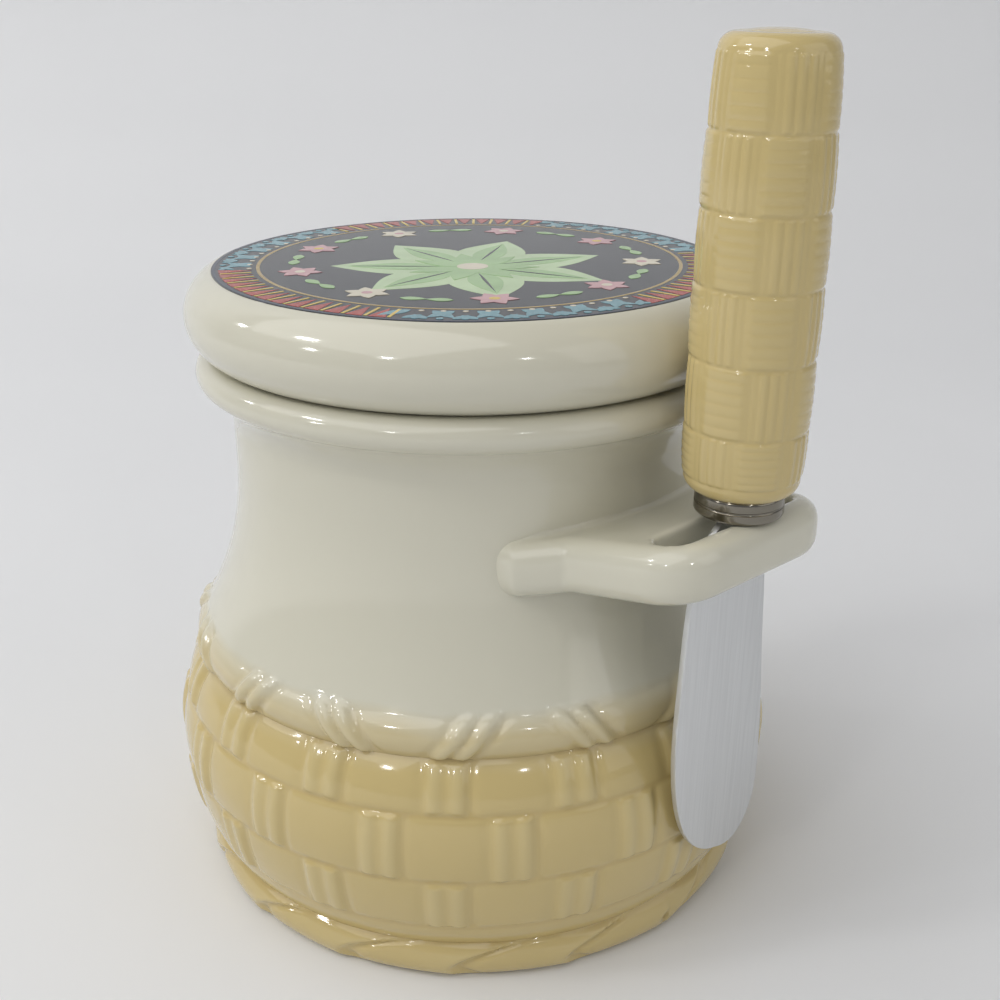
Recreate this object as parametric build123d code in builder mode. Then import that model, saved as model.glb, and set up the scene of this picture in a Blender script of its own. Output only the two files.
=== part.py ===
from build123d import *
import os
from math import cos, radians, sin

# Relish jar: a belly moulded like a basket under a plain neck, a lift-off lid with a printed top,
# and a spreader that stands in a slotted ledge. Millimetres, +Z up.
# The origin is the centre of the foot on the table. The ledge points along +X.

os.makedirs("parts", exist_ok=True)

# Jar body
rim_height = 94.3
mouth_radius = 37.4
rim_seat_radius = 43.8
rim_bulge_radius = 46.5
rim_bulge_height = 91.8
rim_under_radius = 44.9
rim_under_height = 89.2
neck_radius = 40.9
neck_top_height = 83.0
neck_low_height = 76.0
shoulder_radius = 43.2
shoulder_height = 59.6
wall = 4.3
floor_height = 8.6
foot_recess_depth = 4.1
foot_inner_radius = 43.4
foot_contact_radius = 48.0
foot_bulge_radius = 49.8
foot_bulge_height = 3.5
rope_groove_radius = 48.9
rope_groove_height = 6.9

# Basket: one plain strip, three rows of weave and the border band, from the bottom up
row_heights = [rope_groove_height, 11.8, 21.8, 33.4, 41.5, 47.8]
row_radii = [rope_groove_radius, 51.2, 53.2, 52.3, 48.9, 48.2]
row_middle_radii = [50.4, 52.6, 53.6, 51.3, 49.9]
row_middle_shares = [0.5, 0.5, 0.5, 0.5, 0.4]
stake_count = 16
stake_relief = 0.6
stake_rib_width = 2.3
stake_rib_offset = 1.75
stake_angle = -1.45
tie_angle = 1.55
tie_relief = 0.6
tie_slant = 38.0
tie_width = 2.2
tie_spread = 3.3
rope_relief = 0.75
rope_slant = 62.0
rope_lobe_width = 6.0

# Lid
lid_height = 107.85
lid_top_radius = 43.0
lid_bulge_radius = 47.7
lid_bulge_height = 101.2
lid_seat_radius = 42.7
lid_flange_clearance = 0.5
lid_flange_depth = 6.2
lid_flange_thickness = 3.8
lid_top_thickness = 5.4
decal_margin = 0.25
decal_thickness = 0.15

# Ledge
ledge_root_top = 75.3
ledge_root_bottom = 66.5
ledge_root_radius = 42.0
ledge_top_rise = 0.2
ledge_bottom_rise = 0.19
ledge_outer_radius = 64.0
ledge_root_half_width = 26.0
ledge_root_reach = 36.4
ledge_half_width = 19.2
ledge_tip_half_width = 18.0
ledge_corner_radius = 8.5
ledge_flare_radius = 5.0
ledge_root_corner_radius = 2.0
ledge_edge_radius = 3.1
slot_centre = 56.3
slot_width = 6.2
slot_length = 28.4

# Spreader, standing a little loose in the slot
spreader_x = 57.0
spreader_y = 2.0
spreader_z = 79.15
spreader_lean = 1.2
ferrule_height = 3.8
ferrule_radius = 6.65
ferrule_bore_radius = 3.2
handle_bottom_radius = 7.3
handle_top_radius = 7.2
handle_length = 63.3
handle_row_heights = [6.0, 13.4, 23.7, 34.0, 44.2, 54.5, 64.6]
handle_row_radii = [8.5, 8.75, 8.8, 8.85, 8.75, 8.45, 8.0]
handle_row_swell = 0.25
handle_stake_count = 4
handle_stake_relief = 0.35
handle_stake_width = 1.8
handle_stake_offset = 1.35
handle_stake_angle_even = 6.2
handle_stake_angle_odd = -31.8
handle_bore_radius = 3.2
handle_bore_depth = 36.0
blade_thickness = 1.0
tang_width = 4.6
tang_length = 34.0
cement_clearance = 0.1

spreader_axis_direction = (sin(radians(spreader_lean)), 0, cos(radians(spreader_lean)))
spreader_cross_direction = (cos(radians(spreader_lean)), 0, -sin(radians(spreader_lean)))
spreader_origin = (spreader_x, spreader_y, spreader_z)
spreader_axis = Axis(spreader_origin, spreader_axis_direction)
spreader_plane = Plane(spreader_origin, x_dir=spreader_cross_direction, z_dir=spreader_axis_direction)
spreader_section = Plane(spreader_origin, x_dir=spreader_cross_direction, z_dir=(0, -1, 0))
blade_plane = Plane(spreader_origin, x_dir=(0, 1, 0), z_dir=spreader_cross_direction)


def row_arc(row, grow=0.0):
    """Outside curve of one basket row, from its lower edge to its upper edge."""
    low, high = row_heights[row], row_heights[row + 1]
    middle = low + row_middle_shares[row] * (high - low)
    edge = 0.6 * grow
    return ThreePointArc(
        (row_radii[row] + edge, low),
        (row_middle_radii[row] + grow, middle),
        (row_radii[row + 1] + edge, high),
    )


def ring_under(curve):
    """Closes a curve with a short step inward, so it makes a ring when it is turned."""
    start, end = curve @ 0, curve @ 1
    Polyline(end, (end.X - 2.0, end.Y), (start.X - 2.0, start.Y), start)


def row_shell(row, grow):
    """A thin raised ring over one row of the basket."""
    with BuildPart() as shell:
        with BuildSketch(Plane.XZ):
            with BuildLine():
                ring_under(row_arc(row, grow))
            make_face()
        revolve(axis=Axis.Z)
    return shell.part


def stake_bars(row, angle):
    """Paired upright bars that pick the stakes out of a raised ring."""
    middle = (row_heights[row] + row_heights[row + 1]) / 2
    with BuildPart(Plane.XY.offset(middle)) as bars:
        with PolarLocations(row_middle_radii[row], stake_count, start_angle=angle):
            with Locations((0, -stake_rib_offset), (0, stake_rib_offset)):
                Box(8, stake_rib_width, 20)
    return bars.part


# Raised weave, cut from rings that follow each row
stake_pitch = 360 / stake_count
stakes = []
for row, angle in ((1, stake_angle), (2, stake_angle + stake_pitch / 2), (3, stake_angle)):
    stakes.append(row_shell(row, stake_relief) & stake_bars(row, angle))

# The ties lean one way and the other by turns
with BuildPart(Plane.XY.offset((row_heights[4] + row_heights[5]) / 2)) as tie_bars:
    for turn, slant in ((0, tie_slant), (stake_pitch, -tie_slant)):
        with PolarLocations(row_middle_radii[4], stake_count // 2, start_angle=tie_angle + turn):
            with Locations(
                Location((0, -tie_spread / 2, 0), (slant, 0, 0)),
                Location((0, tie_spread / 2, 0), (slant, 0, 0)),
            ):
                Box(8, tie_width, 12)
ties = row_shell(4, tie_relief) & tie_bars.part

with BuildPart() as rope_shell:
    with BuildSketch(Plane.XZ):
        with BuildLine():
            ring_under(
                ThreePointArc(
                    (foot_contact_radius + 0.4, 0),
                    (foot_bulge_radius + rope_relief, foot_bulge_height),
                    (rope_groove_radius + 0.3, rope_groove_height),
                )
            )
        make_face()
    revolve(axis=Axis.Z)
with BuildPart(Plane.XY.offset(foot_bulge_height)) as rope_bars:
    with PolarLocations(foot_bulge_radius, stake_count, start_angle=tie_angle):
        with Locations(Location((0, 0, 0), (-rope_slant, 0, 0))):
            Box(8, rope_lobe_width, 24)
rope_lobes = rope_shell.part & rope_bars.part


def outer_curve():
    """Outside of the jar from the table up to the seat of the lid."""
    foot = ThreePointArc(
        (foot_contact_radius, 0),
        (foot_bulge_radius, foot_bulge_height),
        (rope_groove_radius, rope_groove_height),
    )
    for row in range(len(row_middle_radii)):
        row_arc(row)
    shoulder = ThreePointArc(
        (row_radii[-1], row_heights[-1]),
        (shoulder_radius, shoulder_height),
        (neck_radius, neck_low_height),
    )
    neck = Line(shoulder @ 1, (neck_radius, neck_top_height))
    rim_cove = ThreePointArc(
        neck @ 1,
        (neck_radius + 1.3, (neck_top_height + rim_under_height) / 2 + 0.4),
        (rim_under_radius, rim_under_height),
    )
    rim = ThreePointArc(
        rim_cove @ 1,
        (rim_bulge_radius, rim_bulge_height),
        (rim_seat_radius, rim_height),
    )
    return foot, rim


with BuildPart() as jar_body:
    with BuildSketch(Plane.XZ):
        with BuildLine():
            foot, rim = outer_curve()
            Polyline(
                rim @ 1,
                (0, rim_height),
                (0, foot_recess_depth),
                (foot_inner_radius, foot_recess_depth),
                (foot_inner_radius + 1.0, 0),
                foot @ 0,
            )
        make_face()
    revolve(axis=Axis.Z)
    with BuildSketch(Plane.XZ) as cavity:
        with BuildLine():
            mouth = Line((mouth_radius, rim_height), (neck_radius - wall, neck_low_height + 2))
            throat = ThreePointArc(mouth @ 1, (shoulder_radius - wall, shoulder_height), (43.9, 48.0))
            hollow = ThreePointArc(throat @ 1, (49.3, 29.0), (45.4, 12.4))
            corner = ThreePointArc(hollow @ 1, (43.2, 9.7), (39.5, floor_height))
            Polyline(corner @ 1, (0, floor_height), (0, rim_height), mouth @ 0)
        make_face()
    revolve(axis=Axis.Z, mode=Mode.SUBTRACT)
    for ribs in stakes:
        add(ribs)
    add(ties)
    add(rope_lobes)
jar_body.part.label = "jar_body"

# Neck core, used to shape the root of the ledge to the neck
with BuildPart() as neck_core:
    with BuildSketch(Plane.XZ):
        with BuildLine():
            shoulder = ThreePointArc(
                (row_radii[-1], row_heights[-1]),
                (shoulder_radius, shoulder_height),
                (neck_radius, neck_low_height),
            )
            Polyline(
                shoulder @ 1,
                (neck_radius, neck_top_height),
                (20, neck_top_height),
                (20, row_heights[-1]),
                shoulder @ 0,
            )
        make_face()
    revolve(axis=Axis.Z)


def ledge_top(radius):
    return ledge_root_top + ledge_top_rise * (radius - ledge_root_radius)


def ledge_bottom(radius):
    return ledge_root_bottom + ledge_bottom_rise * (radius - ledge_root_radius)


with BuildPart() as spreader_rest:
    with BuildSketch(Plane.XY.offset(ledge_root_bottom - 6)):
        with BuildLine():
            Polyline(
                (28, ledge_root_half_width),
                (ledge_root_reach, ledge_root_half_width),
                (ledge_root_reach + 6, ledge_half_width + 0.3),
                (ledge_outer_radius, ledge_tip_half_width),
                (ledge_outer_radius, -ledge_tip_half_width),
                (ledge_root_reach + 6, -ledge_half_width - 0.3),
                (ledge_root_reach, -ledge_root_half_width),
                (28, -ledge_root_half_width),
                close=True,
            )
        outline = make_face()
        fillet(outline.vertices().group_by(Axis.X)[-1], ledge_corner_radius)
        fillet(outline.vertices().group_by(Axis.X)[2], ledge_flare_radius)
        fillet(outline.vertices().group_by(Axis.X)[1], ledge_root_corner_radius)
    extrude(amount=30)
    with BuildSketch(Plane.XZ):
        inner, outer = 24, ledge_outer_radius + 2
        with BuildLine():
            Polyline(
                (inner, ledge_bottom(inner)),
                (outer, ledge_bottom(outer)),
                (outer, ledge_top(outer)),
                (inner, ledge_top(inner)),
                close=True,
            )
        make_face()
    extrude(amount=40, both=True, mode=Mode.INTERSECT)
    slab_faces = faces()
    top_face = slab_faces.sort_by(Axis.Z)[-1]
    bottom_face = slab_faces.sort_by(Axis.Z)[0]
    rounded = [
        e for e in top_face.edges() + bottom_face.edges() if e.center().X > 30
    ]
    fillet(rounded, ledge_edge_radius)
    with BuildSketch(Plane.XY.offset(ledge_root_bottom - 6)):
        with Locations((slot_centre, 0)):
            SlotOverall(slot_length, slot_width, rotation=90)
    extrude(amount=40, mode=Mode.SUBTRACT)
    add(neck_core.part, mode=Mode.SUBTRACT)
spreader_rest.part.label = "spreader_rest"

with BuildPart() as lid:
    with BuildSketch(Plane.XZ):
        flange_radius = mouth_radius - lid_flange_clearance
        flange_inner_radius = flange_radius - lid_flange_thickness
        with BuildLine():
            shoulder = ThreePointArc(
                (lid_seat_radius, rim_height),
                (lid_bulge_radius, lid_bulge_height - 0.6),
                (lid_top_radius, lid_height),
            )
            Polyline(
                shoulder @ 1,
                (0, lid_height),
                (0, lid_height - lid_top_thickness),
                (flange_inner_radius - 3.0, lid_height - lid_top_thickness),
                (flange_inner_radius, lid_height - lid_top_thickness - 3.0),
                (flange_inner_radius + 0.6, rim_height - lid_flange_depth),
                (flange_radius - 0.9, rim_height - lid_flange_depth),
                (flange_radius, rim_height - lid_flange_depth + 0.9),
                (flange_radius, rim_height),
                shoulder @ 0,
            )
        make_face()
    revolve(axis=Axis.Z)
lid.part.label = "lid"

with BuildPart() as lid_decal:
    with BuildSketch(Plane.XY.offset(lid_height)):
        Circle(lid_top_radius - decal_margin)
    extrude(amount=decal_thickness)
lid_decal.part.label = "lid_decal"


def handle_shell(row):
    """A thin raised ring over one row of the handle."""
    low, high = handle_row_heights[row], handle_row_heights[row + 1]
    start, end = handle_row_radii[row], handle_row_radii[row + 1]
    middle = (start + end) / 2 + handle_row_swell
    with BuildPart() as shell:
        with BuildSketch(spreader_section):
            with BuildLine():
                Polyline(
                    (start + handle_stake_relief, low + 0.4),
                    (middle + handle_stake_relief, (low + high) / 2),
                    (end + handle_stake_relief, high - 0.4),
                    (end - 1.0, high - 0.4),
                    (start - 1.0, low + 0.4),
                    close=True,
                )
            make_face()
        revolve(axis=spreader_axis)
    return shell.part


def handle_bars(row, angle):
    """Paired upright bars that pick the stakes out of one ring of the handle."""
    middle = (handle_row_heights[row] + handle_row_heights[row + 1]) / 2
    with BuildPart(spreader_plane.offset(middle)) as bars:
        with PolarLocations(handle_row_radii[row], handle_stake_count, start_angle=angle):
            with Locations((0, -handle_stake_offset), (0, handle_stake_offset)):
                Box(4, handle_stake_width, 14)
    return bars.part


handle_stakes = []
for row in range(len(handle_row_heights) - 1):
    angle = handle_stake_angle_even if row % 2 == 0 else handle_stake_angle_odd
    handle_stakes.append(handle_shell(row) & handle_bars(row, angle))

with BuildPart() as spreader_handle:
    with BuildSketch(spreader_section):
        with BuildLine():
            Polyline((0, ferrule_height), (handle_bottom_radius, ferrule_height))
            ThreePointArc(
                (handle_bottom_radius, ferrule_height),
                (handle_bottom_radius + 0.95, ferrule_height + 0.9),
                (handle_row_radii[0], handle_row_heights[0]),
            )
            for row in range(len(handle_row_heights) - 1):
                low, high = handle_row_heights[row], handle_row_heights[row + 1]
                start, end = handle_row_radii[row], handle_row_radii[row + 1]
                Polyline(
                    (start, low),
                    ((start + end) / 2 + handle_row_swell, low + 0.25 * (high - low)),
                    ((start + end) / 2 + handle_row_swell, low + 0.75 * (high - low)),
                    (end, high),
                )
            crown = ThreePointArc(
                (handle_row_radii[-1], handle_row_heights[-1]),
                (handle_top_radius, handle_row_heights[-1] + 1.6),
                (5.2, handle_length + ferrule_height - 0.5),
            )
            Polyline(
                crown @ 1,
                (0, handle_length + ferrule_height),
                (0, ferrule_height),
            )
        make_face()
    revolve(axis=spreader_axis)
    for ribs in handle_stakes:
        add(ribs)
    with BuildSketch(spreader_plane.offset(ferrule_height)):
        Circle(handle_bore_radius)
    extrude(amount=handle_bore_depth, mode=Mode.SUBTRACT)
spreader_handle.part.label = "spreader_handle"

with BuildPart() as spreader_ferrule:
    with BuildSketch(spreader_section):
        with BuildLine():
            Polyline(
                (ferrule_bore_radius, 0),
                (ferrule_radius - 0.6, 0),
                (ferrule_radius, 0.6),
                (ferrule_radius, ferrule_height - 0.9),
                (ferrule_radius - 0.3, ferrule_height - 0.3),
                (ferrule_radius - 0.3, ferrule_height),
                (ferrule_bore_radius, ferrule_height),
                close=True,
            )
        make_face()
    revolve(axis=spreader_axis)
spreader_ferrule.part.label = "spreader_ferrule"

with BuildPart() as spreader_blade:
    with BuildSketch(blade_plane):
        with BuildLine():
            left = Spline(
                (-tang_width / 2, 0),
                (-7.4, -4.4),
                (-9.8, -12.3),
                (-10.6, -24.0),
                (-11.0, -34.0),
                (-10.5, -43.0),
                (-8.6, -51.0),
                (-4.6, -57.6),
                (1.2, -60.8),
            )
            right = Spline(
                left @ 1,
                (7.2, -60.2),
                (10.2, -55.5),
                (10.9, -48.0),
                (10.2, -36.3),
                (8.8, -24.6),
                (7.8, -13.8),
                (5.4, -4.4),
                (tang_width / 2, 0),
                tangents=None,
            )
            Polyline(right @ 1, (tang_width / 2, tang_length), (-tang_width / 2, tang_length), left @ 0)
        make_face()
    extrude(amount=blade_thickness / 2, both=True)
spreader_blade.part.label = "spreader_blade"

with BuildPart() as handle_cement:
    with BuildSketch(spreader_plane):
        Circle(handle_bore_radius - cement_clearance)
        with Locations((0, 0)):
            Rectangle(
                blade_thickness + 2 * cement_clearance,
                tang_width + 2 * cement_clearance,
                mode=Mode.SUBTRACT,
            )
    extrude(amount=tang_length)
    with BuildSketch(spreader_plane.offset(tang_length)):
        Circle(handle_bore_radius - cement_clearance)
    extrude(amount=ferrule_height + handle_bore_depth - tang_length - cement_clearance)
handle_cement.part.label = "handle_cement"

export_step(jar_body.part, "parts/jar_body.step")
export_step(spreader_rest.part, "parts/spreader_rest.step")
export_step(lid.part, "parts/lid.step")
export_step(lid_decal.part, "parts/lid_decal.step")
export_step(spreader_handle.part, "parts/spreader_handle.step")
export_step(spreader_ferrule.part, "parts/spreader_ferrule.step")
export_step(spreader_blade.part, "parts/spreader_blade.step")
export_step(handle_cement.part, "parts/handle_cement.step")
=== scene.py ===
import math

import bmesh
import bpy
import numpy as np
from mathutils import Matrix, Vector


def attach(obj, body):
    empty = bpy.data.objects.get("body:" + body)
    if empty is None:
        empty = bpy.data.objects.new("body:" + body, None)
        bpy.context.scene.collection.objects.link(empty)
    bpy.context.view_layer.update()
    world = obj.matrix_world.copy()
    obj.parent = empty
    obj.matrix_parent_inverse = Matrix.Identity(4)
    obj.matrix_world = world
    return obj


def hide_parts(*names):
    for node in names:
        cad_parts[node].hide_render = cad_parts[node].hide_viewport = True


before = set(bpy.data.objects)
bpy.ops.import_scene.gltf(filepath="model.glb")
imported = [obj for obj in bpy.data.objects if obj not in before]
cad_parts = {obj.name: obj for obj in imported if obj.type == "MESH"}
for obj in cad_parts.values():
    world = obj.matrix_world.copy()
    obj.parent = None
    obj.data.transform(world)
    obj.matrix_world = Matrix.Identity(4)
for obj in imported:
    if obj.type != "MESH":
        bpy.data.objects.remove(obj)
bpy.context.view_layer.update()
MM = 0.001

# Jar profile, in millimetres as in the part's source. An arc is three (radius, height) points.
FOOT = [(48.0, 0.0), (49.8, 3.5), (48.9, 6.9)]
ROW_HEIGHTS = [6.9, 11.8, 21.8, 33.4, 41.5, 47.8]
ROW_RADII = [48.9, 51.2, 53.2, 52.3, 48.9, 48.2]
ROW_MIDDLES = [(50.4, 9.35), (52.6, 16.8), (53.6, 27.6), (51.3, 37.45), (49.9, 44.02)]
SHOULDER = [(48.2, 47.8), (43.2, 59.6), (40.9, 76.0)]
RIM_COVE = [(40.9, 83.0), (42.2, 86.5), (44.9, 89.2)]
RIM = [(44.9, 89.2), (46.5, 91.8), (43.8, 94.3)]
MOUTH = (37.4, 94.3)
THROAT = [(36.6, 78.0), (38.9, 59.6), (43.9, 48.0)]
HOLLOW = [(43.9, 48.0), (49.3, 29.0), (45.4, 12.4)]
FLOOR_CORNER = [(45.4, 12.4), (43.2, 9.7), (39.5, 8.6)]
FLOOR = 8.6
FOOT_RECESS = 4.1
FOOT_INNER = 43.4
FOOT_FLAT_INNER = 44.4
RIM_TOP = 94.3
JAR_STAKE_STEPS = 40

STAKES = 16
PITCH = 2 * math.pi / STAKES
STAKE_ANGLE = math.radians(-1.45)
TIE_ANGLE = math.radians(1.55)
ROPE_ANGLE = math.radians(-4.2)

LID_TOP = 107.85
LID_SIDE = [(42.7, RIM_TOP), (47.7, 100.6), (43.0, LID_TOP)]
LID_CEILING = 102.45
LID_CEILING_CORNER = [(30.1, LID_CEILING), (32.3, 101.5), (33.1, 99.45)]
LID_FLANGE_FOOT = 88.1
LID_FLANGE_RADII = (33.7, 36.0, 36.9)
LID_FLANGE_CHAMFER = 89.0

SPREADER_FOOT = Vector((57.0, 2.0, 79.15)) * MM
SPREADER_LEAN = math.radians(1.2)
FERRULE_HEIGHT = 3.8
HANDLE_ROWS = [6.0, 13.4, 23.7, 34.0, 44.2, 54.5, 64.6]
HANDLE_RADII = [8.5, 8.75, 8.8, 8.85, 8.75, 8.45, 8.0]
HANDLE_TOP = 67.08
HANDLE_ANGLE_EVEN = math.radians(6.2)
HANDLE_ANGLE_ODD = math.radians(-31.8)


def arc(a, b, c, count):
    """Points of the circle from a through b to c, without the last one."""
    ax, ay = a
    bx, by = b
    cx, cy = c
    d = 2 * (ax * (by - cy) + bx * (cy - ay) + cx * (ay - by))
    a2, b2, c2 = ax * ax + ay * ay, bx * bx + by * by, cx * cx + cy * cy
    ux = (a2 * (by - cy) + b2 * (cy - ay) + c2 * (ay - by)) / d
    uy = (a2 * (cx - bx) + b2 * (ax - cx) + c2 * (bx - ax)) / d
    radius = math.hypot(ax - ux, ay - uy)
    start, middle, end = (math.atan2(y - uy, x - ux) for x, y in (a, b, c))
    turn = (end - start) % (2 * math.pi)
    if (middle - start) % (2 * math.pi) > turn:
        turn -= 2 * math.pi
    angles = start + turn * np.arange(count) / count
    return [(ux + radius * math.cos(angle), uy + radius * math.sin(angle)) for angle in angles]


def line(a, b, count):
    """Points from a towards b, without the last one."""
    steps = np.arange(count) / count
    return [(a[0] + (b[0] - a[0]) * s, a[1] + (b[1] - a[1]) * s) for s in steps]


def smoothstep(low, high, x):
    t = np.clip((x - low) / (high - low), 0, 1)
    return t * t * (3 - 2 * t)


def bump(x, width):
    """A rounded ridge of half width `width`, 1 at its middle."""
    return np.clip(1 - (x / width) ** 2, 0, 1) ** 0.75


def wrap(angle, period):
    return (angle + period / 2) % period - period / 2


def outward(profile):
    """Unit normals of a profile, pointing away from its inside."""
    p = np.array(profile)
    t = np.gradient(p, axis=0)
    n = np.stack([t[:, 1], -t[:, 0]], axis=1)
    return n / np.maximum(np.linalg.norm(n, axis=1, keepdims=True), 1e-9)


def lathe(name, profile, segments, relief=None, place=None, tint=None):
    """Turns a profile that starts and ends on the axis into a closed mesh.
    relief[i, j] moves ring i, segment j along the profile's normal, in millimetres."""
    p = np.array(profile, float)
    inner = p[1:-1]
    angles = np.arange(segments) * 2 * math.pi / segments
    r = np.repeat(inner[:, :1], segments, axis=1)
    z = np.repeat(inner[:, 1:], segments, axis=1)
    if relief is not None:
        n = outward(p)[1:-1]
        r = r + relief[1:-1] * n[:, :1]
        z = z + relief[1:-1] * n[:, 1:]
    xyz = np.stack([r * np.cos(angles), r * np.sin(angles), z], axis=2).reshape(-1, 3)
    xyz = np.vstack([xyz, [[0, 0, p[0, 1]], [0, 0, p[-1, 1]]]]) * MM
    rings = len(inner)
    i, j = np.meshgrid(np.arange(rings - 1), np.arange(segments), indexing="ij")
    k = (j + 1) % segments
    here, above = i * segments, (i + 1) * segments
    quads = np.stack([here + j, here + k, above + k, above + j], axis=2)
    faces = quads.reshape(-1, 4).tolist()
    first, last = rings * segments, rings * segments + 1
    for s in range(segments):
        t = (s + 1) % segments
        faces.append((first, t, s))
        faces.append((last, (rings - 1) * segments + s, (rings - 1) * segments + t))
    mesh = bpy.data.meshes.new(name)
    mesh.from_pydata(xyz.tolist(), [], faces)
    if tint is not None:
        values = np.concatenate([tint[1:-1].reshape(-1), [0, 0]])
        mesh.attributes.new("relief", "FLOAT", "POINT").data.foreach_set("value", values.astype(np.float32))
    if place is not None:
        mesh.transform(place)
    mesh.update()
    mesh.shade_smooth()
    obj = bpy.data.objects.new(name, mesh)
    bpy.context.scene.collection.objects.link(obj)
    return obj


def sharpen(obj, degrees):
    """Keeps edges crisp where faces meet at more than this angle."""
    obj.data.set_sharp_from_angle(angle=math.radians(degrees))


# Materials


def material(name, roughness, metallic=0.0, coat=0.0):
    m = bpy.data.materials.new(name)
    m.use_nodes = True
    tree = m.node_tree
    shader = tree.nodes["Principled BSDF"]
    shader.inputs["Roughness"].default_value = roughness
    shader.inputs["Metallic"].default_value = metallic
    shader.inputs["Coat Weight"].default_value = coat
    shader.inputs["Coat Roughness"].default_value = 0.04
    return m, tree, shader


def add(tree, kind, **settings):
    """A new node. A setting is the value of an input of that name, or else a property of the node."""
    node = tree.nodes.new(kind)
    for key, value in settings.items():
        if key in node.inputs:
            node.inputs[key].default_value = value
        else:
            setattr(node, key, value)
    return node


def ramp(tree, factor, stops):
    node = tree.nodes.new("ShaderNodeValToRGB")
    elements = node.color_ramp.elements
    while len(elements) < len(stops):
        elements.new(0.5)
    for element, (position, colour) in zip(elements, stops):
        element.position = position
        element.color = (*colour, 1)
    tree.links.new(factor, node.inputs["Fac"])
    return node.outputs["Color"]


def mix(tree, factor, a, b):
    """Mixes two colours. Each of factor, a and b is a socket or a plain value."""
    node = tree.nodes.new("ShaderNodeMix")
    node.data_type = "RGBA"
    for socket, value in ((node.inputs["Factor"], factor), (node.inputs[6], a), (node.inputs[7], b)):
        if hasattr(value, "links"):
            tree.links.new(value, socket)
        elif isinstance(value, (int, float)):
            socket.default_value = value
        else:
            socket.default_value = (*value, 1)
    return node.outputs[2]


def place(tree):
    """The point of the surface, in metres, which moves with its piece."""
    return tree.nodes.new("ShaderNodeTexCoord").outputs["Object"]


def noise(tree, scale, detail=3.0):
    node = add(tree, "ShaderNodeTexNoise", Scale=scale, Detail=detail)
    tree.links.new(place(tree), node.inputs["Vector"])
    return node.outputs["Fac"]


CREAM = (0.66, 0.64, 0.53)
CREAM_DARK = (0.60, 0.575, 0.455)
TAN = (0.59, 0.465, 0.205)
TAN_LIGHT = (0.66, 0.56, 0.305)
TAN_DEEP = (0.44, 0.30, 0.105)
TAN_ENDS = 0.0405
CREAM_STARTS = 0.0502
EDGE_WOBBLE = 0.0022


def glaze(name, tan_part):
    """Cream glaze, with a tan one that is darker in the hollows of the relief and lighter on its raised
    parts, on the tan part:
    "" for none of the piece, "basket" for what lies under the neck, "all" for the whole."""
    m, tree, shader = material(name, 0.11, coat=0.35)
    cream = mix(tree, noise(tree, 22, 4), CREAM, CREAM_DARK)
    cream = mix(tree, 0.35, CREAM, cream)
    colour = cream
    if tan_part:
        relief = add(tree, "ShaderNodeAttribute", attribute_name="relief").outputs["Fac"]
        # The tan is darker where the relief sinks and lighter where it stands out
        tan = ramp(tree, relief, [(0.0, TAN_DEEP), (0.42, TAN), (0.62, TAN), (1.0, TAN_LIGHT)])
        tan = mix(tree, noise(tree, 60, 3), tan, TAN)
        if tan_part == "basket":
            split = tree.nodes.new("ShaderNodeSeparateXYZ")
            tree.links.new(place(tree), split.inputs["Vector"])
            wobble = add(tree, "ShaderNodeMath", operation="MULTIPLY_ADD")
            tree.links.new(noise(tree, 90, 2), wobble.inputs[0])
            wobble.inputs[1].default_value = EDGE_WOBBLE
            tree.links.new(split.outputs["Z"], wobble.inputs[2])
            edge = tree.nodes.new("ShaderNodeMapRange")
            edge.inputs["From Min"].default_value = TAN_ENDS
            edge.inputs["From Max"].default_value = CREAM_STARTS
            tree.links.new(wobble.outputs[0], edge.inputs["Value"])
            thin = [(0.0, (0, 0, 0)), (0.2, (0.16,) * 3), (0.62, (0.32,) * 3), (1.0, (1, 1, 1))]
            colour = mix(tree, ramp(tree, edge.outputs["Result"], thin), tan, cream)
        else:
            colour = tan
    tree.links.new(colour, shader.inputs["Base Color"])
    speck = add(tree, "ShaderNodeBump", Strength=0.05, Distance=0.0004)
    tree.links.new(noise(tree, 260, 2), speck.inputs["Height"])
    tree.links.new(speck.outputs["Normal"], shader.inputs["Normal"])
    return m


body_glaze = glaze("body_glaze", "basket")
plain_glaze = glaze("plain_glaze", "")
handle_glaze = glaze("handle_glaze", "all")


def steel(name, base, roughness, direction):
    """Steel with fine polishing lines along one direction."""
    m, tree, shader = material(name, roughness, metallic=1.0)
    stretch = tree.nodes.new("ShaderNodeMapping")
    stretch.inputs["Scale"].default_value = direction
    tree.links.new(place(tree), stretch.inputs["Vector"])
    lines = add(tree, "ShaderNodeTexNoise", Scale=60.0, Detail=3.0)
    tree.links.new(stretch.outputs["Vector"], lines.inputs["Vector"])
    tone = mix(tree, lines.outputs["Fac"], base, tuple(v * 0.86 for v in base))
    tree.links.new(tone, shader.inputs["Base Color"])
    rough = tree.nodes.new("ShaderNodeMapRange")
    rough.inputs["To Min"].default_value = roughness * 0.8
    rough.inputs["To Max"].default_value = roughness * 1.25
    tree.links.new(lines.outputs["Fac"], rough.inputs["Value"])
    tree.links.new(rough.outputs["Result"], shader.inputs["Roughness"])
    return m


blade_steel = steel("blade_steel", (0.77, 0.78, 0.785), 0.42, (1, 40, 1))
ferrule_steel = steel("ferrule_steel", (0.26, 0.24, 0.20), 0.16, (1, 1, 30))


# Jar body

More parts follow.
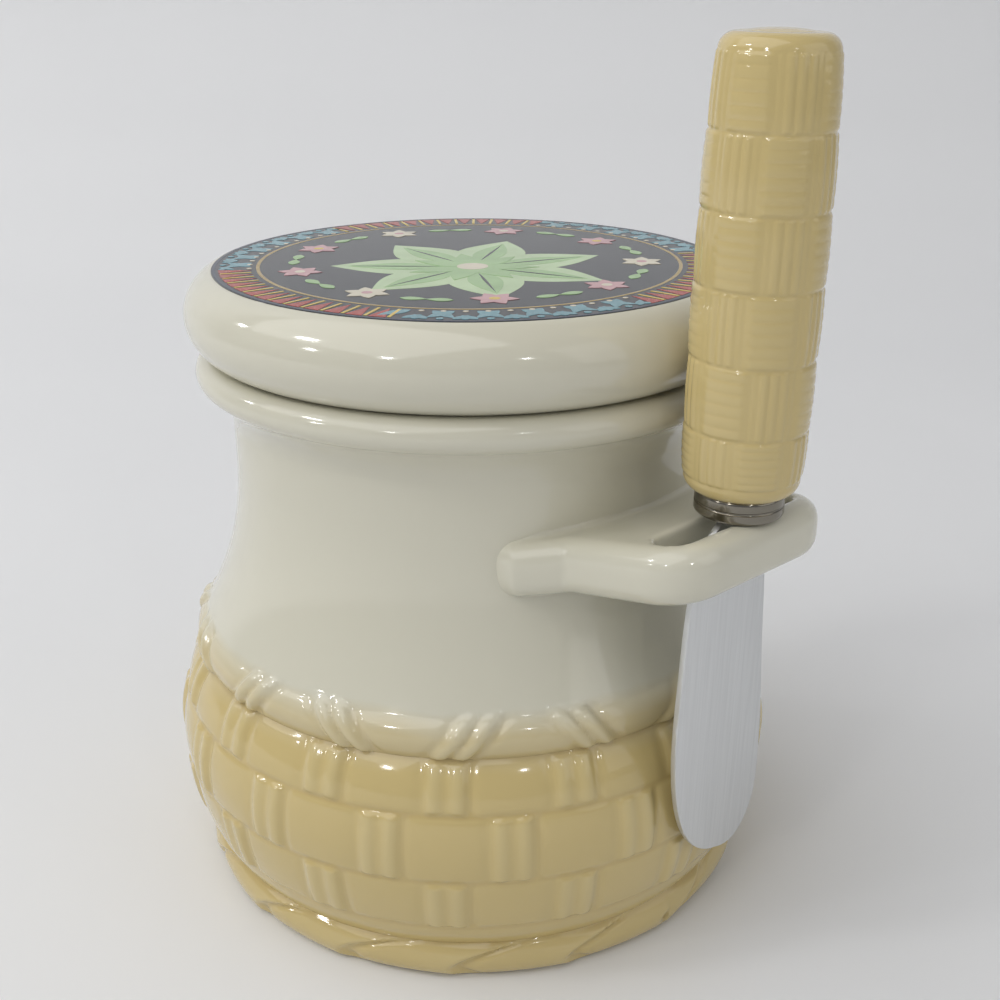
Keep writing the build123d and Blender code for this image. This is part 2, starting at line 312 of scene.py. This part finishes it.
foot_side = arc(*FOOT, 26)
rows = []
for row, middle in enumerate(ROW_MIDDLES):
    low, high = (ROW_RADII[row], ROW_HEIGHTS[row]), (ROW_RADII[row + 1], ROW_HEIGHTS[row + 1])
    rows += arc(low, middle, high, max(16, int((high[1] - low[1]) / 0.26)))
profile = [(0, FOOT_RECESS), *line((2, FOOT_RECESS), (FOOT_INNER, FOOT_RECESS), 10)]
recess_end = len(profile)
profile += line((FOOT_INNER, FOOT_RECESS), (FOOT_FLAT_INNER, 0), 5) + line((FOOT_FLAT_INNER, 0), FOOT[0], 5)
outer_start = len(profile)
profile += foot_side + rows + arc(*SHOULDER, 60) + line(SHOULDER[2], RIM_COVE[0], 8)
profile += arc(*RIM_COVE, 16) + arc(*RIM, 22)
outer_end = len(profile)
profile += line(RIM[2], MOUTH, 6) + line(MOUTH, THROAT[0], 10) + arc(*THROAT, 16)
profile += arc(*HOLLOW, 24) + arc(*FLOOR_CORNER, 8)
profile += line(FLOOR_CORNER[2], (2, FLOOR), 10) + [(2, FLOOR), (0, FLOOR)]
JAR_SEGMENTS = JAR_STAKE_STEPS * STAKES

heights = np.array(profile)[:, 1][:, None]
radii = np.array(profile)[:, 0][:, None]
theta = (np.arange(JAR_SEGMENTS) * 2 * math.pi / JAR_SEGMENTS)[None, :]
ring = np.arange(len(profile))[:, None]
outside = (ring >= outer_start) & (ring < outer_end)


def twin(s, offset, half):
    """Two rounded ridges of half width `half`, at `offset` on each side of the middle."""
    return np.maximum(bump(s - offset, half), bump(s + offset, half))


def notch(s, middle, width):
    """A soft hollow, 1 deep at its middle."""
    return np.exp(-(((s - middle) / width) ** 2))


# Woven rows: pairs of upright strands with a hollow on each side, and between them a swelling span
STAKE_RELIEF = 0.58
BED_RELIEF = 0.26
SPAN_RELIEF = 0.20
relief = np.zeros((len(profile), JAR_SEGMENTS))
for row, angle in ((1, STAKE_ANGLE), (2, STAKE_ANGLE + PITCH / 2), (3, STAKE_ANGLE)):
    low, high = ROW_HEIGHTS[row], ROW_HEIGHTS[row + 1]
    s = radii * wrap(theta - angle, PITCH)
    across = smoothstep(low, low + 1.0, heights) * smoothstep(high, high - 1.0, heights)
    stake = np.maximum(twin(s, 1.75, 1.5) * STAKE_RELIEF, BED_RELIEF * bump(s, 3.4))
    hollow = 0.30 * notch(s, 4.0, 0.7) + 0.12 * notch(s, -4.0, 0.8)
    span = SPAN_RELIEF * (0.5 - 0.5 * np.cos(2 * math.pi * s / (radii * PITCH + 1e-9)))
    in_row = outside & (heights >= low) & (heights < high)
    relief += np.where(in_row, across * (stake - hollow + span), 0)

# Band under the neck: pairs of slanted ties, which lean by turns
TIE_RELIEF = 0.62
TIE_SLOPE = 0.75
TIE_OVERLAP = 1.4
low, high = ROW_HEIGHTS[4], ROW_HEIGHTS[5]
tie_index = np.round((theta - TIE_ANGLE) / PITCH)
lean = np.where(tie_index % 2 == 0, -TIE_SLOPE, TIE_SLOPE)
s = radii * wrap(theta - TIE_ANGLE, PITCH) + lean * (heights - (low + high) / 2)
across = smoothstep(low - 0.2, low + 0.9, heights) * smoothstep(high + TIE_OVERLAP, high - 0.6, heights)
tie = twin(s, 1.7, 1.45) * TIE_RELIEF - 0.38 * notch(s, 4.0, 0.8) - 0.2 * notch(s, -4.0, 0.8)
relief += np.where(outside & (heights >= low) & (heights < high + TIE_OVERLAP), across * tie, 0)

# Rope round the foot: each strand swells towards its right end
ROPE_SLOPE = 1.75
ROPE_MIDDLE = 3.4
ROPE_TOP = 7.0
ROPE_RELIEF = 1.05
ROPE_SINK = 0.42
strand_length = FOOT[2][0] * PITCH
turn = radii * (theta - ROPE_ANGLE) - ROPE_SLOPE * (heights - ROPE_MIDDLE)
along = wrap(turn, strand_length) / strand_length + 0.5
ends = smoothstep(0.0, 0.14, along) * smoothstep(1.0, 0.88, along)
rope = (0.5 + 0.5 * along ** 2) * ends * ROPE_RELIEF - ROPE_SINK
across = smoothstep(0.25, 1.5, heights) * smoothstep(ROPE_TOP, 5.9, heights)
relief += np.where(outside & (heights < ROPE_TOP), across * rope, 0)

# How far each point stands out, for the glaze; painted shade makes it darker in the grooves between the
# rows
tint = np.clip(0.5 + relief * 0.55, 0, 1)
# Painted shade: a dark line along each groove between the rows
groove_gap = np.min(np.abs(heights - np.array(ROW_HEIGHTS[:5])[None, :]), axis=1, keepdims=True)
tint = tint - np.where(outside, 0.28 * notch(groove_gap, 0, 0.7), 0)
jar = lathe("jar_glazed_body", profile, JAR_SEGMENTS, relief, tint=np.clip(tint, 0, 1))
sharpen(jar, 50)
jar.data.materials.append(body_glaze)
jar.data.materials.append(plain_glaze)
# The inside and the recess under the foot are plain cream
last_ring = len(profile) - 2
wall_rings = np.repeat(np.arange(1, last_ring), JAR_SEGMENTS)
face_ring = np.concatenate([wall_rings, np.tile([1, last_ring], JAR_SEGMENTS)])
plain = (face_ring >= outer_end) | (face_ring < recess_end)
jar.data.polygons.foreach_set("material_index", plain.astype(np.int32))
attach(jar, "jar")
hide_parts("jar_body")

# Lid

flange = [(radius, LID_FLANGE_FOOT) for radius in LID_FLANGE_RADII[:2]]
flange += [(LID_FLANGE_RADII[2], LID_FLANGE_CHAMFER), (LID_FLANGE_RADII[2], RIM_TOP)]
lid_profile = [(0, LID_CEILING), *line((2, LID_CEILING), LID_CEILING_CORNER[0], 6)]
lid_profile += arc(*LID_CEILING_CORNER, 8) + line(LID_CEILING_CORNER[2], flange[0], 8)
lid_profile += line(flange[0], flange[1], 3) + line(flange[1], flange[2], 3)
lid_profile += line(flange[2], flange[3], 4) + line(flange[3], LID_SIDE[0], 5)
lid_profile += arc(*LID_SIDE, 70) + line(LID_SIDE[2], (1, LID_TOP), 12) + [(0, LID_TOP)]
lid = lathe("lid_glazed", lid_profile, 320)
sharpen(lid, 40)
lid.data.materials.append(plain_glaze)
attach(lid, "lid")
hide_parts("lid")


# Printed top: a dark disc with a gold ring, a leaf rosette, blossoms and a patterned border

PRINT_TOP = 108.0
PRINT_THICKNESS = 0.15
PRINT_RADIUS = 42.75
GROUND_TOP = PRINT_TOP - 0.05
INK_FOOT = PRINT_TOP - 0.06
INK_STEP = 0.012


def ink(name, colour):
    m, tree, shader = material(name, 0.12)
    shader.inputs["Specular IOR Level"].default_value = 0.36
    light, dark = tuple(min(1, v * 1.15) for v in colour), tuple(v * 0.74 for v in colour)
    tree.links.new(mix(tree, noise(tree, 120, 4), light, dark), shader.inputs["Base Color"])
    return m


inks = [
    ink("ink_ground", (0.012, 0.015, 0.024)),
    ink("ink_gold", (0.42, 0.30, 0.10)),
    ink("ink_leaf", (0.36, 0.56, 0.26)),
    ink("ink_leaf_pale", (0.52, 0.68, 0.40)),
    ink("ink_pink", (0.62, 0.36, 0.38)),
    ink("ink_cream", (0.72, 0.66, 0.52)),
    ink("ink_red", (0.42, 0.04, 0.025)),
    ink("ink_yellow", (0.72, 0.52, 0.10)),
    ink("ink_teal", (0.16, 0.34, 0.40)),
    ink("ink_navy", (0.03, 0.05, 0.10)),
]
GROUND, GOLD, LEAF, LEAF_PALE, PINK, CREAM_INK, RED, YELLOW, TEAL, NAVY = range(10)
verts, faces, face_inks = [], [], []


def prism(points, level, ink_index):
    """A flat printed shape, a hair thick. points run anticlockwise. Level 0 is the disc itself.
    Shapes that cross have different levels, so that their tops don't share a plane."""
    base = PRINT_TOP - PRINT_THICKNESS if level == 0 else INK_FOOT
    top = GROUND_TOP + level * INK_STEP
    start, count = len(verts), len(points)
    verts.extend((x * MM, y * MM, base * MM) for x, y in points)
    verts.extend((x * MM, y * MM, top * MM) for x, y in points)
    faces.append(tuple(range(start + count, start + 2 * count)))
    faces.append(tuple(range(start + count - 1, start - 1, -1)))
    for i in range(count):
        j = (i + 1) % count
        faces.append((start + i, start + j, start + count + j, start + count + i))
    face_inks.extend([ink_index] * (count + 2))


def polar(radius, angle):
    return (radius * math.cos(angle), radius * math.sin(angle))


def leaf(x, y, angle, length, width, level, ink_index, count=14):
    """A leaf from (x, y) along angle, pointed at both ends."""
    c, s = math.cos(angle), math.sin(angle)
    edge = []
    for i in range(count + 1):
        t = i / count
        edge.append((length * t, -width / 2 * math.sin(math.pi * t ** 0.8)))
    edge += [(u, -v) for u, v in reversed(edge[1:-1])]
    prism([(x + u * c - v * s, y + u * s + v * c) for u, v in edge], level, ink_index)


def dot(x, y, radius, level, ink_index, count=14):
    rim = [polar(radius, 2 * math.pi * i / count) for i in range(count)]
    prism([(x + u, y + v) for u, v in rim], level, ink_index)


def blossom(x, y, size, petals, level, petal_ink, heart_ink):
    """A flower, turned by its own place so that no two look alike."""
    for i in range(petals):
        leaf(x, y, 2 * math.pi * i / petals + x, size, size * 0.62, level + 0.5 * (i % 3), petal_ink, 8)
    dot(x, y, size * 0.24, level + 2, heart_ink, 10)


def annulus(inner, outer, level, ink_index, count=160):
    step = 2 * math.pi / count
    for i in range(count):
        a, b = i * step, (i + 1) * step
        prism([polar(inner, a), polar(outer, a), polar(outer, b), polar(inner, b)], level, ink_index)


prism([polar(PRINT_RADIUS, 2 * math.pi * i / 256) for i in range(256)], 0, GROUND)
annulus(34.9, 35.5, 2, GOLD)
annulus(42.1, 42.5, 2, NAVY)

ROSETTE = (4.0, -3.0)
ROSETTE_LEAVES = 7
ROSETTE_TURN = 0.35
BLOSSOMS = 9


def from_rosette(distance, angle):
    x, y = polar(distance, angle)
    return ROSETTE[0] + x, ROSETTE[1] + y


for i in range(ROSETTE_LEAVES):
    angle = 2 * math.pi * i / ROSETTE_LEAVES + ROSETTE_TURN
    step = 0.5 * (i % 4)
    leaf(*from_rosette(3.0, angle), angle, 20.5, 12.0, 1 + step, LEAF_PALE, 20)
    leaf(*from_rosette(4.2, angle), angle, 16.5, 5.4, 3 + step, LEAF, 16)
    leaf(*from_rosette(5.4, angle), angle, 14.5, 0.5, 5, GROUND, 8)
for i in range(ROSETTE_LEAVES):
    angle = 2 * math.pi * (i + 0.5) / ROSETTE_LEAVES + ROSETTE_TURN
    leaf(*ROSETTE, angle, 11.0, 4.2, 5.5 + 0.5 * (i % 4), LEAF, 12)
dot(*ROSETTE, 2.6, 8, CREAM_INK, 20)
for i in range(BLOSSOMS):
    angle = 2 * math.pi * i / BLOSSOMS + 0.1
    x, y = polar(28.8, angle)
    petal, heart = ((PINK, CREAM_INK), (CREAM_INK, PINK), (PINK, YELLOW))[i % 3]
    blossom(x, y, 3.7, 6, 6, petal, heart)
    for side_turn in (-1, 1):
        bx, by = polar(29.6, angle + side_turn * 0.21)
        leaf(bx, by, angle + side_turn * 1.9, 4.2, 1.9, 5.25, LEAF, 8)

BORDER = 72
for i in range(BORDER):
    angle = 2 * math.pi * i / BORDER
    sector = int(angle // (math.pi / 3)) % 2
    half = math.pi / BORDER
    if sector == 0:
        wedge = [polar(36.3, angle), polar(41.6, angle - half * 0.75), polar(41.6, angle + half * 0.75)]
        prism(wedge, 3, RED)
        right, left = angle + half * 0.82, angle + half * 1.12
        prism([polar(36.4, right), polar(41.4, right), polar(41.4, left), polar(36.4, left)], 4, YELLOW)
    else:
        x, y = polar(36.4, angle)
        turn = -0.75 if i % 2 else 0.75
        leaf(x, y, angle + turn, 5.6, 2.2, 3 + 0.5 * (i % 2), TEAL, 8)
        leaf(*polar(41.4, angle), angle + math.pi + turn, 3.4, 1.4, 4 + 0.5 * (i % 2), TEAL, 8)
        dot(*polar(41.0, angle + half), 0.6, 5, TEAL, 8)
        dot(*polar(36.6, angle + half), 0.45, 5, CREAM_INK, 8)

mesh = bpy.data.meshes.new("lid_printed_top")
mesh.from_pydata(verts, [], faces)
for one in inks:
    mesh.materials.append(one)
mesh.polygons.foreach_set("material_index", face_inks)
mesh.update()
print_top = bpy.data.objects.new("lid_printed_top", mesh)
bpy.context.scene.collection.objects.link(print_top)
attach(print_top, "lid")
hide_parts("lid_decal")

# Spreader

spreader_place = Matrix.Translation(SPREADER_FOOT) @ Matrix.Rotation(SPREADER_LEAN, 4, "Y")

HANDLE_FOOT = [(7.3, FERRULE_HEIGHT), (8.25, 4.7), (HANDLE_RADII[0], HANDLE_ROWS[0])]
HANDLE_SHOULDER = [(HANDLE_RADII[-1], HANDLE_ROWS[-1]), (7.2, 66.1), (5.2, 66.6)]
HANDLE_CROWN = [HANDLE_SHOULDER[2], (2.6, 67.0), (0.05, HANDLE_TOP)]
HANDLE_ROW_SWELL = 0.16
handle_base = FERRULE_HEIGHT + 0.02
handle_profile = [(0, handle_base), *line((1, handle_base), HANDLE_FOOT[0], 4)]
handle_profile += arc(*HANDLE_FOOT, 8)
for row in range(len(HANDLE_ROWS) - 1):
    low, high = (HANDLE_RADII[row], HANDLE_ROWS[row]), (HANDLE_RADII[row + 1], HANDLE_ROWS[row + 1])
    middle = ((low[0] + high[0]) / 2 + HANDLE_ROW_SWELL, (low[1] + high[1]) / 2)
    handle_profile += arc(low, middle, high, 48)
handle_profile += arc(*HANDLE_SHOULDER, 14) + arc(*HANDLE_CROWN, 8) + [(0, HANDLE_TOP)]

HANDLE_SEGMENTS = 320
hz = np.array(handle_profile)[:, 1][:, None]
hr = np.array(handle_profile)[:, 0][:, None]
ht = (np.arange(HANDLE_SEGMENTS) * 2 * math.pi / HANDLE_SEGMENTS)[None, :]

# Each row: three fine upright ridges on each of four stakes, and between them six level strands
RIDGE_RELIEF = 0.15
STRAND_RELIEF = 0.07
BAND_RELIEF = 0.12
ROW_GROOVE = 0.04
handle_relief = np.zeros((len(handle_profile), HANDLE_SEGMENTS))
for row in range(len(HANDLE_ROWS) - 1):
    low, high = HANDLE_ROWS[row], HANDLE_ROWS[row + 1]
    angle = HANDLE_ANGLE_EVEN if row % 2 == 0 else HANDLE_ANGLE_ODD
    s = hr * wrap(ht - angle, math.pi / 2)
    inside = (hz >= low) & (hz < high)
    across = smoothstep(low, low + 0.5, hz) * smoothstep(high, high - 0.5, hz)
    edge = smoothstep(2.75, 3.3, np.abs(s))
    ridges = np.maximum(bump(s, 0.62), twin(s, 1.5, 0.62))
    stake = (ridges * RIDGE_RELIEF + 0.02) * (1 - edge)
    strands = STRAND_RELIEF * np.abs(np.sin(math.pi * 6 * (hz - low) / (high - low))) ** 0.7
    crimp = smoothstep(3.0, 4.6, np.abs(s))
    band = edge * ((strands + BAND_RELIEF) * crimp - ROW_GROOVE * (1 - crimp))
    handle_relief += np.where(inside, across * (stake + band) - ROW_GROOVE * (1 - across), 0)
handle_tint = np.clip(0.46 + handle_relief * 1.3, 0, 1)
handle = lathe(
    "spreader_woven_handle", handle_profile, HANDLE_SEGMENTS, handle_relief, spreader_place, handle_tint
)
handle.data.materials.append(handle_glaze)
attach(handle, "spreader")
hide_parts("spreader_handle")

ferrule_profile = [(0, 0.2), (3.2, 0.2), (3.25, 0.0), *line((3.3, 0), (6.05, 0), 4)]
ferrule_profile += arc((6.05, 0), (6.5, 0.15), (6.65, 0.6), 5) + line((6.65, 0.6), (6.62, 1.5), 4)
ferrule_profile += arc((6.62, 1.5), (6.45, 1.75), (6.62, 2.0), 5) + line((6.62, 2.0), (6.6, 2.9), 4)
ferrule_profile += arc((6.6, 2.9), (6.5, 3.3), (6.35, 3.5), 4)
ferrule_profile += [(6.35, 3.5), (6.3, 3.78), (3.2, 3.78), (0, 3.78)]
ferrule = lathe("spreader_collar", ferrule_profile, 160, None, spreader_place)
sharpen(ferrule, 35)
ferrule.data.materials.append(ferrule_steel)
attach(ferrule, "spreader")
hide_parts("spreader_ferrule")


def softened(node, name, width, steps):
    """A copy of a flat CAD node with its edges rounded."""
    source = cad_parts[node]
    mesh = source.data.copy()
    mesh.name = name
    obj = bpy.data.objects.new(name, mesh)
    bpy.context.scene.collection.objects.link(obj)
    mesh.materials.clear()
    weld = obj.modifiers.new("weld", "WELD")
    weld.merge_threshold = 0.00001
    flat = obj.modifiers.new("flat", "DECIMATE")
    flat.decimate_type = "DISSOLVE"
    flat.angle_limit = math.radians(1.0)
    bevel = obj.modifiers.new("bevel", "BEVEL")
    bevel.width = width * MM
    bevel.segments = steps
    bevel.limit_method = "ANGLE"
    bevel.angle_limit = math.radians(50)
    bpy.context.view_layer.update()
    evaluated = obj.evaluated_get(bpy.context.evaluated_depsgraph_get())
    final = bpy.data.meshes.new_from_object(evaluated)
    obj.modifiers.clear()
    obj.data = final
    final.shade_smooth()
    sharpen(obj, 40)
    return obj


blade = softened("spreader_blade", "spreader_steel_blade", 0.22, 3)
blade.data.materials.append(blade_steel)
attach(blade, "spreader")
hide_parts("spreader_blade")

cement_look, cement_tree, cement_shader = material("cement_fill", 0.8)
cement_tone = mix(cement_tree, noise(cement_tree, 400, 4), (0.62, 0.60, 0.56), (0.50, 0.48, 0.44))
cement_tree.links.new(cement_tone, cement_shader.inputs["Base Color"])
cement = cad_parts["handle_cement"]
cement.data.materials.clear()
cement.data.materials.append(cement_look)

# Ledge: the CAD slab and a band of the neck, melted together so that the root gets its cove

ROOT_START = 19.2 * MM
ROOT_KEEP = 0.78
VOXEL = 0.4 * MM
SMOOTHING = 22
BAND_HEIGHTS = (60.5, 81.0)
BAND_SINK = 0.10
BAND_DEPTH = 2.2
BAND_SEGMENTS = 256
TRIM_X = 30.5 * MM
TRIM_LOW = 62.5 * MM
TRIM_HIGH = 79.5 * MM


def melted_ledge():
    """The ledge with a rounded root, whose ends are drawn in a little towards its middle."""
    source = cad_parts["spreader_rest"]
    mesh = source.data.copy()
    mesh.materials.clear()
    obj = bpy.data.objects.new("spreader_ledge", mesh)
    bpy.context.scene.collection.objects.link(obj)
    ring_obj = neck_band()
    bpy.ops.object.select_all(action="DESELECT")
    for one in (obj, ring_obj):
        one.select_set(True)
    bpy.context.view_layer.objects.active = obj
    bpy.ops.object.join()
    remesh = obj.modifiers.new("remesh", "REMESH")
    remesh.mode = "VOXEL"
    remesh.voxel_size = VOXEL
    smooth = obj.modifiers.new("smooth", "SMOOTH")
    smooth.factor = 0.5
    smooth.iterations = SMOOTHING
    bpy.context.view_layer.update()
    evaluated = obj.evaluated_get(bpy.context.evaluated_depsgraph_get())
    final = bpy.data.meshes.new_from_object(evaluated)
    obj.modifiers.clear()
    obj.data = final
    for v in final.vertices:
        over = abs(v.co.y) - ROOT_START
        if over > 0:
            v.co.y = math.copysign(ROOT_START + ROOT_KEEP * over, v.co.y)
    trim_behind(final)
    final.shade_smooth()
    return obj


def neck_band():
    """A ring that lies inside the neck's wall, just under its outer face."""
    levels = np.linspace(*BAND_HEIGHTS, 42)
    loop = [(neck_radius_at(h) - BAND_SINK, h) for h in levels]
    loop += [(neck_radius_at(h) - BAND_DEPTH, h) for h in levels[::-1]]
    turns = [2 * math.pi * i / BAND_SEGMENTS for i in range(BAND_SEGMENTS)]
    points = [(r * math.cos(a) * MM, r * math.sin(a) * MM, h * MM) for a in turns for r, h in loop]
    count = len(loop)
    quads = []
    for i in range(BAND_SEGMENTS):
        for j in range(count):
            k, n = (i + 1) % BAND_SEGMENTS, (j + 1) % count
            quads.append((i * count + j, k * count + j, k * count + n, i * count + n))
    mesh = bpy.data.meshes.new("neck_band")
    mesh.from_pydata(points, [], quads)
    obj = bpy.data.objects.new("neck_band", mesh)
    bpy.context.scene.collection.objects.link(obj)
    return obj


def neck_radius_at(height):
    points = np.array(arc(*SHOULDER, 80) + [SHOULDER[2], RIM_COVE[0]])
    return float(np.interp(height, points[:, 1], points[:, 0]))


def trim_behind(mesh):
    """Keeps only the ledge and its cove: cuts away the rest of the band, and closes the cuts."""
    bm = bmesh.new()
    bm.from_mesh(mesh)
    cuts = (
        ((TRIM_X, 0, 0), (-1, 0, 0)),
        ((0, 0, TRIM_LOW), (0, 0, -1)),
        ((0, 0, TRIM_HIGH), (0, 0, 1)),
    )
    for point, away in cuts:
        geometry = bm.verts[:] + bm.edges[:] + bm.faces[:]
        result = bmesh.ops.bisect_plane(bm, geom=geometry, plane_co=point, plane_no=away, clear_outer=True)
        cut_edges = [e for e in result["geom_cut"] if isinstance(e, bmesh.types.BMEdge)]
        bmesh.ops.edgeloop_fill(bm, edges=cut_edges)
    bm.to_mesh(mesh)
    bm.free()


ledge = melted_ledge()
ledge.data.materials.clear()
ledge.data.materials.append(plain_glaze)
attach(ledge, "jar")
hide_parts("spreader_rest")

# Floor, backdrop, lights and camera

CAMERA_PLACE = Vector((0.16521, -0.14612, 0.151565))
CAMERA_TURN = math.radians(47.2)
CAMERA_PITCH = math.radians(21.506)
CAMERA_LENS = 47.31


def seen(right, forward, up):
    """A place given by how far right of, beyond and above the jar it is, as the camera sees it."""
    c, s = math.cos(CAMERA_TURN), math.sin(CAMERA_TURN)
    return (right * c - forward * s, right * s + forward * c, up)


BACKDROP_BEND = [(0.34, 0.0), (0.42, 0.008), (0.49, 0.035), (0.54, 0.08), (0.57, 0.14), (0.58, 0.22)]
BACKDROP = [(-2.5, 0.0), *BACKDROP_BEND, (0.58, 2.2)]
BACKDROP_HALF_WIDTH = 2.5
PALE = (0.64, 0.645, 0.66)
PALE_FROM, PALE_TO = 0.7, 1.5


def sweep_backdrop():
    """A floor that turns up into a wall behind the jar. Far from the jar it glows pale, which only
    the camera sees, so it lights nothing."""
    points = []
    for forward, up in BACKDROP:
        for right in (-BACKDROP_HALF_WIDTH, BACKDROP_HALF_WIDTH):
            points.append(seen(right, forward, up))
    quads = [(2 * i, 2 * i + 1, 2 * i + 3, 2 * i + 2) for i in range(len(BACKDROP) - 1)]
    mesh = bpy.data.meshes.new("backdrop")
    mesh.from_pydata(points, [], quads)
    mesh.shade_smooth()
    obj = bpy.data.objects.new("backdrop", mesh)
    bpy.context.scene.collection.objects.link(obj)
    paint, tree, shader = material("backdrop_paint", 0.9)
    tone = mix(tree, noise(tree, 4, 4), (0.82, 0.825, 0.835), (0.77, 0.775, 0.785))
    tree.links.new(tone, shader.inputs["Base Color"])
    distance = add(tree, "ShaderNodeVectorMath", operation="LENGTH")
    tree.links.new(place(tree), distance.inputs[0])
    far = tree.nodes.new("ShaderNodeMapRange")
    far.inputs["From Min"].default_value = PALE_FROM
    far.inputs["From Max"].default_value = PALE_TO
    tree.links.new(distance.outputs["Value"], far.inputs["Value"])
    share = add(tree, "ShaderNodeMath", operation="MULTIPLY")
    tree.links.new(far.outputs["Result"], share.inputs[0])
    tree.links.new(tree.nodes.new("ShaderNodeLightPath").outputs["Is Camera Ray"], share.inputs[1])
    pale = add(tree, "ShaderNodeEmission", Color=(*PALE, 1))
    both = tree.nodes.new("ShaderNodeMixShader")
    tree.links.new(share.outputs[0], both.inputs[0])
    tree.links.new(shader.outputs[0], both.inputs[1])
    tree.links.new(pale.outputs[0], both.inputs[2])
    tree.links.new(both.outputs[0], tree.nodes["Material Output"].inputs["Surface"])
    mesh.materials.append(paint)


LIGHT_TARGET = Vector((0, 0, 0.07))
WHITE = (1.0, 0.99, 0.97)
WARM_WHITE = (1.0, 0.97, 0.92)


def area(name, location, width, height, power, colour):
    light = bpy.data.lights.new(name, "AREA")
    light.shape = "RECTANGLE"
    light.size = width
    light.size_y = height
    light.energy = power
    light.color = colour
    obj = bpy.data.objects.new(name, light)
    obj.location = location
    obj.rotation_euler = (LIGHT_TARGET - Vector(location)).to_track_quat("-Z", "Y").to_euler()
    bpy.context.scene.collection.objects.link(obj)


sweep_backdrop()
area("soft_top", seen(-0.55, -0.30, 1.1), 1.7, 1.3, 8.7, WHITE)
area("soft_right", seen(1.0, -0.5, 0.6), 1.0, 0.9, 1.8, WARM_WHITE)
area("window_high", seen(-0.85, -0.25, 0.78), 0.15, 0.09, 1.2, WHITE)
area("window_low", seen(-0.80, -0.42, 0.45), 0.06, 0.05, 0.40, WHITE)
area("window_front", seen(-0.48, -0.80, 0.52), 0.07, 0.045, 0.50, WHITE)
area("window_back", seen(-0.90, 0.22, 0.52), 0.06, 0.05, 0.35, WHITE)
area("window_right", seen(0.36, -0.86, 0.55), 0.05, 0.035, 0.25, WHITE)

world = bpy.data.worlds.new("world")
bpy.context.scene.world = world
world.use_nodes = True
SKY_LIGHT = (0.286, 0.292, 0.306)
sky_tree = world.node_tree
background = sky_tree.nodes["Background"]
shown = sky_tree.nodes.new("ShaderNodeLightPath").outputs["Is Camera Ray"]
sky_tree.links.new(mix(sky_tree, shown, SKY_LIGHT, PALE), background.inputs["Color"])
background.inputs["Strength"].default_value = 1.0

camera_data = bpy.data.cameras.new("camera")
camera_data.lens = CAMERA_LENS
camera_data.sensor_width = 36
camera = bpy.data.objects.new("camera", camera_data)
camera.location = CAMERA_PLACE
camera.rotation_euler = (math.pi / 2 - CAMERA_PITCH, 0, CAMERA_TURN)
bpy.context.scene.collection.objects.link(camera)
bpy.context.scene.camera = camera
bpy.context.scene.view_settings.view_transform = "Standard"
